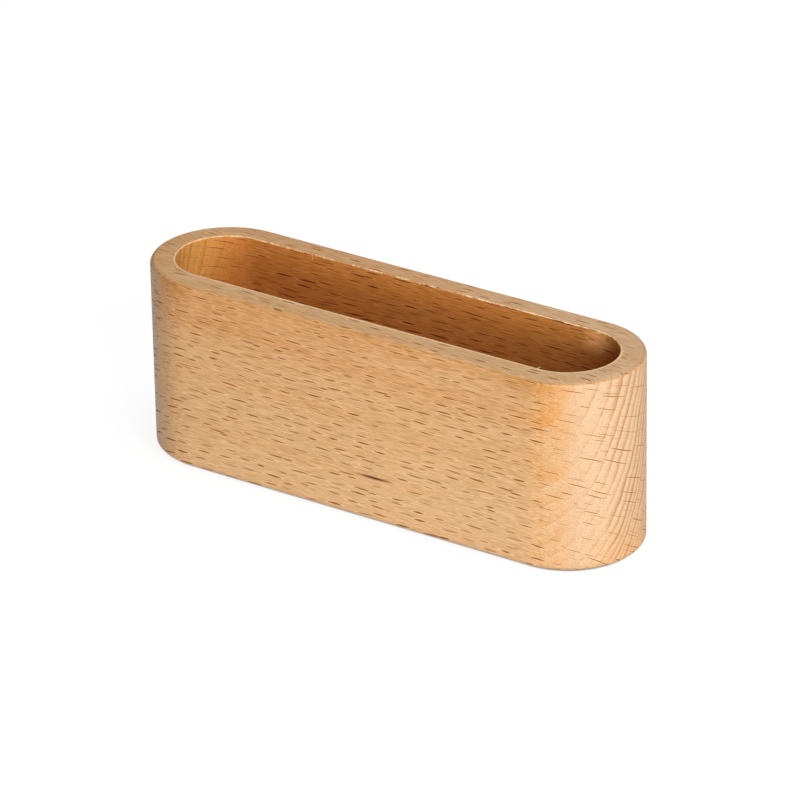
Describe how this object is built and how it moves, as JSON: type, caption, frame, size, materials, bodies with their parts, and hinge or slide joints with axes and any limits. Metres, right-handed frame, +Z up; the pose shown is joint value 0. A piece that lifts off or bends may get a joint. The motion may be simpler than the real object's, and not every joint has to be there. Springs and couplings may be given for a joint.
{
  "type": "business card box",
  "caption": "Round-ended wooden desk box with an open pocket that holds business cards upright, on small rubber feet.",
  "frame": {"origin": "middle of the footprint, on the surface that the feet stand on", "axes": "+X along the box and the wood's grain, +Y from the front face to the back face, +Z up out of the pocket"},
  "size_m": [0.11, 0.03, 0.0404],
  "materials": {
    "beech": "solid beech, sanded smooth, thin satin oil or lacquer, short dark ray flecks along the grain",
    "foot_rubber": "matt black moulded rubber"
  },
  "bodies": {
    "root": {"beech_block": "beech", "foot_front_left": "foot_rubber", "foot_front_right": "foot_rubber", "foot_rear_left": "foot_rubber", "foot_rear_right": "foot_rubber"}
  },
  "joints": []
}
